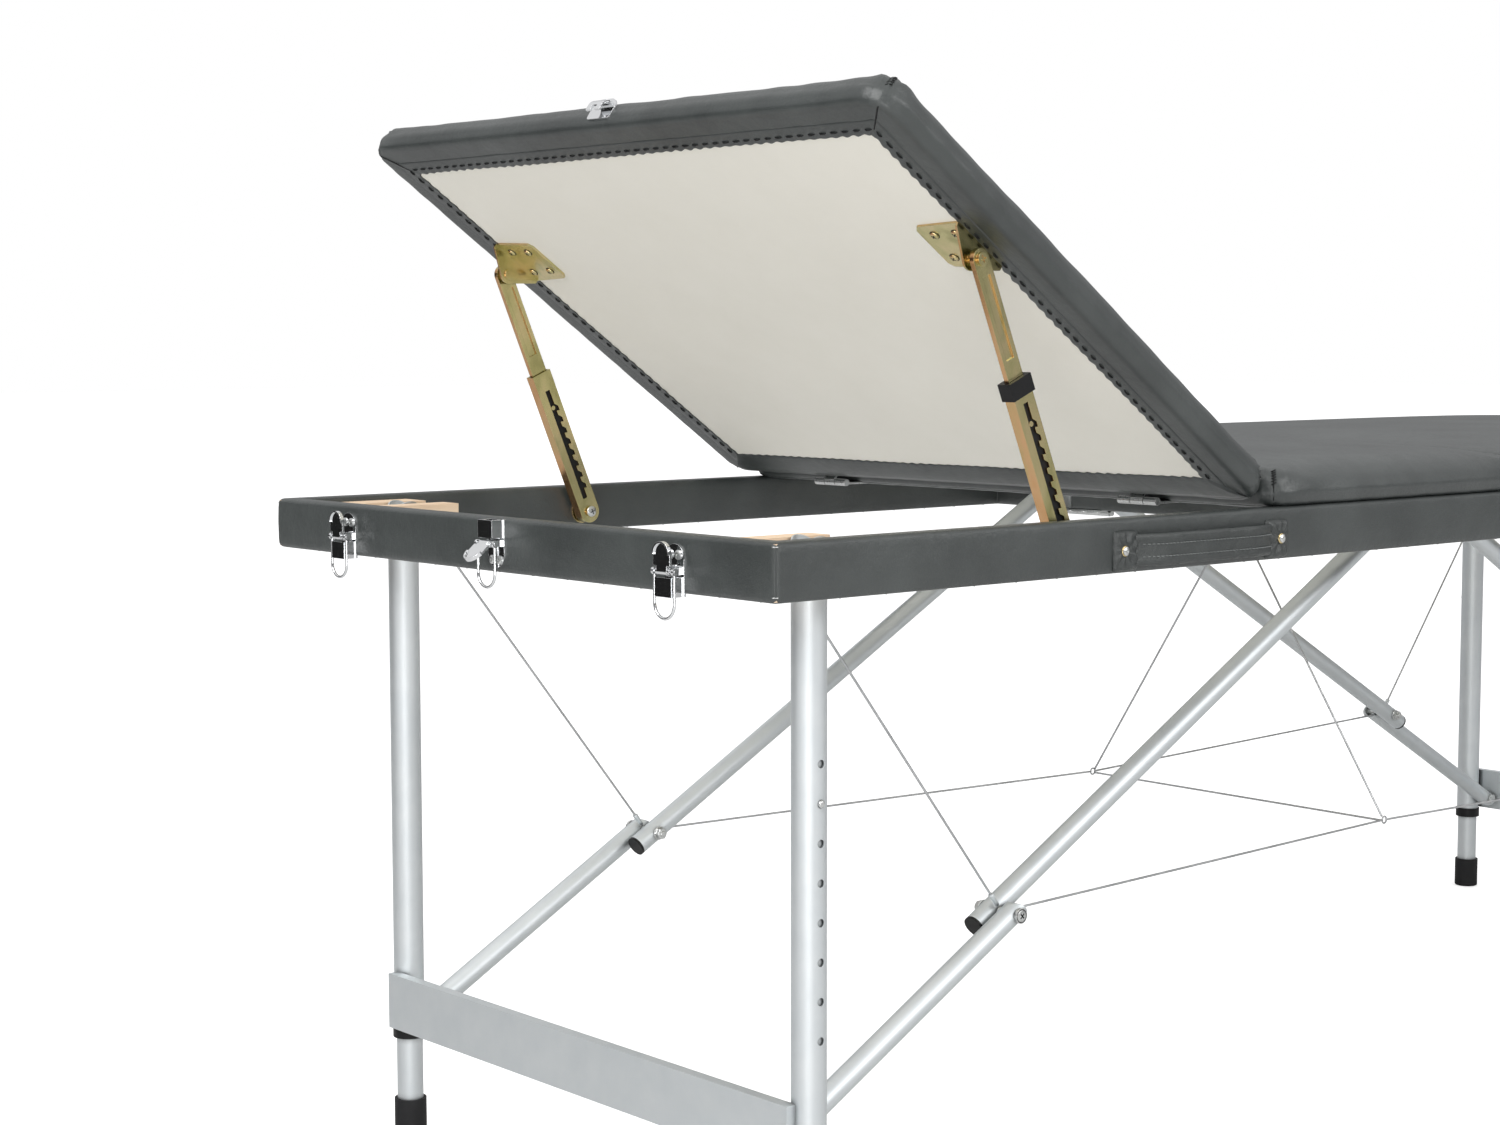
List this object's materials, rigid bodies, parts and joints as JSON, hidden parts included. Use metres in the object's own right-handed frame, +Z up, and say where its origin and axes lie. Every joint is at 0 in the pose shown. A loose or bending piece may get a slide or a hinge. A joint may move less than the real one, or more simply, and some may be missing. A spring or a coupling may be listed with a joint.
{
  "type": "portable massage table",
  "caption": "Folding portable massage table with padded tops, a lifting backrest on ratchet struts, telescopic metal legs, folding braces and stay cables.",
  "frame": {"origin": "on the floor under the middle of the open table", "axes": "+X along the table from the backrest end to the plain end, +Y across, +Z up"},
  "size_m": [1.9002, 0.6945, 0.93],
  "materials": {
    "pine": "planed, unfinished",
    "frame_leather": "synthetic leather, fine grain, satin",
    "cushion_leather": "coated upholstery fabric over foam, leather grain, satin",
    "board": "cream faced board, matt",
    "aluminium": "satin anodised",
    "zinc_steel": "zinc plated",
    "yellow_zinc": "yellow passivated zinc plate",
    "chrome": "bright chrome plate",
    "black_plastic": "moulded, satin",
    "foot_rubber": "moulded, matt",
    "wire_rope": "bright galvanised wire rope"
  },
  "bodies": {
    "head_frame": {"head_wood_frame": "pine", "head_frame_cover": "frame_leather", "seat_pad": "cushion_leather", "seat_board": "board", "head_brace_brackets": "zinc_steel", "head_fasteners": "zinc_steel", "latch_bases": "chrome", "head_handle": "frame_leather", "strut_foot_brackets": "yellow_zinc", "backrest_hinge_seat_leaves": "zinc_steel", "centre_hinge_head_leaves": "zinc_steel", "stay_cables": "wire_rope"},
    "centre_hinge": {"centre_hinge_pins": "zinc_steel"},
    "foot_frame": {"foot_wood_frame": "pine", "foot_frame_cover": "frame_leather", "foot_pad": "cushion_leather", "foot_board": "board", "foot_brace_brackets": "zinc_steel", "latch_keepers": "chrome", "foot_handle": "frame_leather", "foot_fasteners": "zinc_steel", "centre_hinge_foot_leaves": "zinc_steel"},
    "backrest": {"backrest_pad": "cushion_leather", "backrest_board": "board", "strut_top_brackets": "yellow_zinc", "backrest_hinge_pad_leaves": "zinc_steel", "backrest_catch": "chrome"},
    "strut_channels": {"strut_channels": "yellow_zinc", "strut_guide": "black_plastic"},
    "strut_rods": {"strut_rods": "yellow_zinc"},
    "head_legs": {"head_leg_frame": "aluminium", "head_leg_collars": "black_plastic"},
    "head_lower_braces": {"head_lower_braces": "aluminium", "head_brace_bolts": "zinc_steel"},
    "head_upper_braces": {"head_upper_braces": "aluminium", "head_brace_plugs": "black_plastic"},
    "head_left_leg": {"head_left_inner_leg": "aluminium", "head_left_foot": "foot_rubber"},
    "head_left_button": {"head_left_button": "zinc_steel"},
    "head_right_leg": {"head_right_inner_leg": "aluminium", "head_right_foot": "foot_rubber"},
    "head_right_button": {"head_right_button": "zinc_steel"},
    "foot_legs": {"foot_leg_frame": "aluminium", "foot_leg_collars": "black_plastic"},
    "foot_lower_braces": {"foot_lower_braces": "aluminium", "foot_brace_bolts": "zinc_steel"},
    "foot_upper_braces": {"foot_upper_braces": "aluminium", "foot_brace_plugs": "black_plastic"},
    "foot_left_leg": {"foot_left_inner_leg": "aluminium", "foot_left_foot": "foot_rubber"},
    "foot_left_button": {"foot_left_button": "zinc_steel"},
    "foot_right_leg": {"foot_right_inner_leg": "aluminium", "foot_right_foot": "foot_rubber"},
    "foot_right_button": {"foot_right_button": "zinc_steel"},
    "latch_right_lever": {"latch_right_lever": "chrome"},
    "latch_right_bail": {"latch_right_bail": "chrome"},
    "latch_middle_lever": {"latch_middle_lever": "chrome"},
    "latch_middle_bail": {"latch_middle_bail": "chrome"},
    "latch_left_lever": {"latch_left_lever": "chrome"},
    "latch_left_bail": {"latch_left_bail": "chrome"}
  },
  "joints": [
    {"name": "fold_1", "type": "hinge", "parent": "head_frame", "child": "centre_hinge", "pos_m": [0, 0, 0.5425], "axis": [0, 1, 0], "range_deg": [0, 90], "deforming": ["stay_cables"]},
    {"name": "fold_2", "type": "hinge", "parent": "centre_hinge", "child": "foot_frame", "pos_m": [0, 0, 0.5425], "axis": [0, 1, 0], "range_deg": [0, 90]},
    {"name": "head_leg_fold", "type": "hinge", "parent": "head_frame", "child": "head_legs", "pos_m": [-0.8392, 0, 0.572], "axis": [0, -1, 0], "range_deg": [0, 90]},
    {"name": "head_lower_brace_fold", "type": "hinge", "parent": "head_legs", "child": "head_lower_braces", "pos_m": [-0.8392, 0, 0.121], "axis": [0, -1, 0], "range_deg": [0, 60.88]},
    {"name": "head_upper_brace_fold", "type": "hinge", "parent": "head_frame", "child": "head_upper_braces", "pos_m": [-0.03, 0, 0.572], "axis": [0, 1, 0], "range_deg": [0, 29.14]},
    {"name": "head_left_leg_height", "type": "slide", "parent": "head_legs", "child": "head_left_leg", "axis": [0, 0, -1], "range_m": [-0.03, 0.18], "deforming": ["head_left_button"]},
    {"name": "head_left_button_press", "type": "slide", "parent": "head_left_leg", "child": "head_left_button", "axis": [0, 1, 0], "range_m": [0, 0.0045], "stiffness_N_per_m": 600},
    {"name": "head_right_leg_height", "type": "slide", "parent": "head_legs", "child": "head_right_leg", "axis": [0, 0, -1], "range_m": [-0.03, 0.18], "deforming": ["head_right_button"]},
    {"name": "head_right_button_press", "type": "slide", "parent": "head_right_leg", "child": "head_right_button", "axis": [0, -1, 0], "range_m": [0, 0.0045], "stiffness_N_per_m": 600},
    {"name": "foot_leg_fold", "type": "hinge", "parent": "foot_frame", "child": "foot_legs", "pos_m": [0.8392, 0, 0.572], "axis": [0, 1, 0], "range_deg": [0, 90]},
    {"name": "foot_lower_brace_fold", "type": "hinge", "parent": "foot_legs", "child": "foot_lower_braces", "pos_m": [0.8392, 0, 0.121], "axis": [0, 1, 0], "range_deg": [0, 60.88]},
    {"name": "foot_upper_brace_fold", "type": "hinge", "parent": "foot_frame", "child": "foot_upper_braces", "pos_m": [0.03, 0, 0.572], "axis": [0, -1, 0], "range_deg": [0, 29.14]},
    {"name": "foot_left_leg_height", "type": "slide", "parent": "foot_legs", "child": "foot_left_leg", "axis": [0, 0, -1], "range_m": [-0.03, 0.18], "deforming": ["foot_left_button"]},
    {"name": "foot_left_button_press", "type": "slide", "parent": "foot_left_leg", "child": "foot_left_button", "axis": [0, 1, 0], "range_m": [0, 0.0045], "stiffness_N_per_m": 600},
    {"name": "foot_right_leg_height", "type": "slide", "parent": "foot_legs", "child": "foot_right_leg", "axis": [0, 0, -1], "range_m": [-0.03, 0.18], "deforming": ["foot_right_button"]},
    {"name": "foot_right_button_press", "type": "slide", "parent": "foot_right_leg", "child": "foot_right_button", "axis": [0, -1, 0], "range_m": [0, 0.0045], "stiffness_N_per_m": 600},
    {"name": "backrest_tilt", "type": "hinge", "parent": "head_frame", "child": "backrest", "pos_m": [-0.382, 0, 0.59], "axis": [0, 1, 0], "range_deg": [-35, 0]},
    {"name": "strut_swing", "type": "hinge", "parent": "head_frame", "child": "strut_channels", "pos_m": [-0.602, 0, 0.565], "axis": [0, 1, 0], "range_deg": [-63.53, 0]},
    {"name": "strut_extend", "type": "slide", "parent": "strut_channels", "child": "strut_rods", "axis": [-0.3914, 0, 0.9202], "range_m": [-0.0916, 0]},
    {"name": "latch_right_lever_turn", "type": "hinge", "parent": "head_frame", "child": "latch_right_lever", "pos_m": [-0.9415, 0.218, 0.563], "axis": [0, -1, 0], "range_deg": [0, 90]},
    {"name": "latch_right_bail_swing", "type": "hinge", "parent": "head_frame", "child": "latch_right_bail", "pos_m": [-0.9415, 0.218, 0.563], "axis": [0, 1, 0], "range_deg": [0, 150]},
    {"name": "latch_middle_lever_turn", "type": "hinge", "parent": "head_frame", "child": "latch_middle_lever", "pos_m": [-0.9415, -0.003, 0.57], "axis": [0, 1, 0], "range_deg": [-50, 25]},
    {"name": "latch_middle_bail_swing", "type": "hinge", "parent": "head_frame", "child": "latch_middle_bail", "pos_m": [-0.9415, -0.003, 0.57], "axis": [0, 1, 0], "range_deg": [0, 150]},
    {"name": "latch_left_lever_turn", "type": "hinge", "parent": "head_frame", "child": "latch_left_lever", "pos_m": [-0.9415, -0.23, 0.563], "axis": [0, -1, 0], "range_deg": [0, 90]},
    {"name": "latch_left_bail_swing", "type": "hinge", "parent": "head_frame", "child": "latch_left_bail", "pos_m": [-0.9415, -0.23, 0.563], "axis": [0, 1, 0], "range_deg": [0, 150]}
  ],
  "couplings": [
    {"joint": "head_leg_fold", "follows": "fold_1", "ratio": 1},
    {"joint": "head_lower_brace_fold", "follows": "fold_1", "ratio": 0.6763},
    {"joint": "head_upper_brace_fold", "follows": "fold_1", "ratio": 0.3237},
    {"joint": "foot_leg_fold", "follows": "fold_1", "ratio": 1},
    {"joint": "foot_lower_brace_fold", "follows": "fold_1", "ratio": 0.6763},
    {"joint": "foot_upper_brace_fold", "follows": "fold_1", "ratio": 0.3237},
    {"joint": "strut_swing", "follows": "backrest_tilt", "ratio": 1.8137},
    {"joint": "strut_extend", "follows": "backrest_tilt", "m_per_rad": 0.14962}
  ]
}
